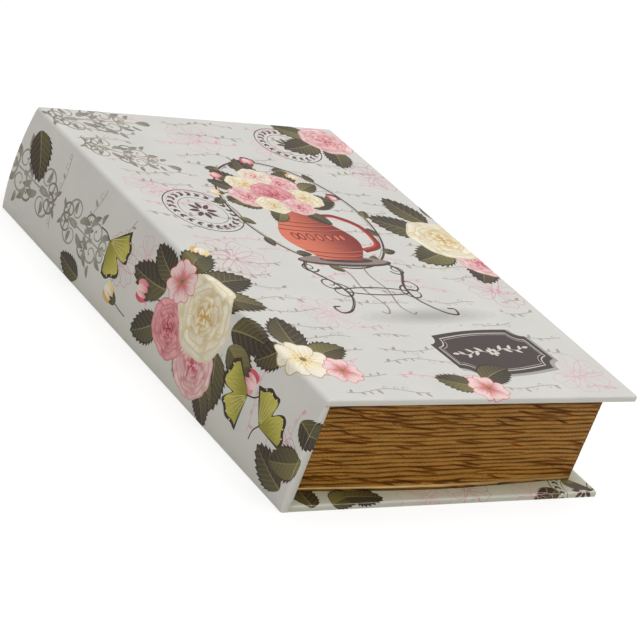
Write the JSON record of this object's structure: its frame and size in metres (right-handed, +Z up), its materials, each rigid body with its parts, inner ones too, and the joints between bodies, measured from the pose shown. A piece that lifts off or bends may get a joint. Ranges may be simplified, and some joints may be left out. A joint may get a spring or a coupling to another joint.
{
  "type": "book box",
  "caption": "Storage box shaped like a closed book: tray with ribbed page-edge sides, curved spine, and a lid hinged along the spine.",
  "frame": {"origin": "centre of the underside of the box's overall bounding box, on the surface that it lies on", "axes": "+Z up through the lid, +X from the spine towards the fore-edge, +Y from the tail towards the head"},
  "size_m": [0.2342, 0.33, 0.0696],
  "materials": {
    "print_covering": "satin coated print on off-white",
    "board": "plain fibreboard",
    "page_edge": "ribbed, golden brown, semi-gloss",
    "lining": "matt",
    "hinge_cloth": "plain weave, matt",
    "magnet": "nickel plated",
    "steel": "plain"
  },
  "bodies": {
    "case": {"base_board": "board", "base_wrap": "print_covering", "spine_board": "board", "spine_wrap": "print_covering", "tray_floor": "board", "head_wall": "board", "tail_wall": "board", "fore_edge_wall": "board", "spine_side_wall": "board", "head_page_strip": "page_edge", "tail_page_strip": "page_edge", "fore_edge_page_strip": "page_edge", "floor_lining": "lining", "wall_lining": "lining", "wall_magnet_head": "magnet", "wall_magnet_tail": "magnet", "hinge_cloth": "hinge_cloth"},
    "lid": {"lid_board": "board", "lid_wrap": "print_covering", "lid_lining": "lining", "lid_plate_head": "steel", "lid_plate_tail": "steel"}
  },
  "joints": [
    {"name": "lid_hinge", "type": "hinge", "parent": "case", "child": "lid", "pos_m": [-0.11322, 0, 0.06565], "axis": [0, -1, 0], "range_deg": [0, 160], "deforming": ["hinge_cloth"]}
  ]
}
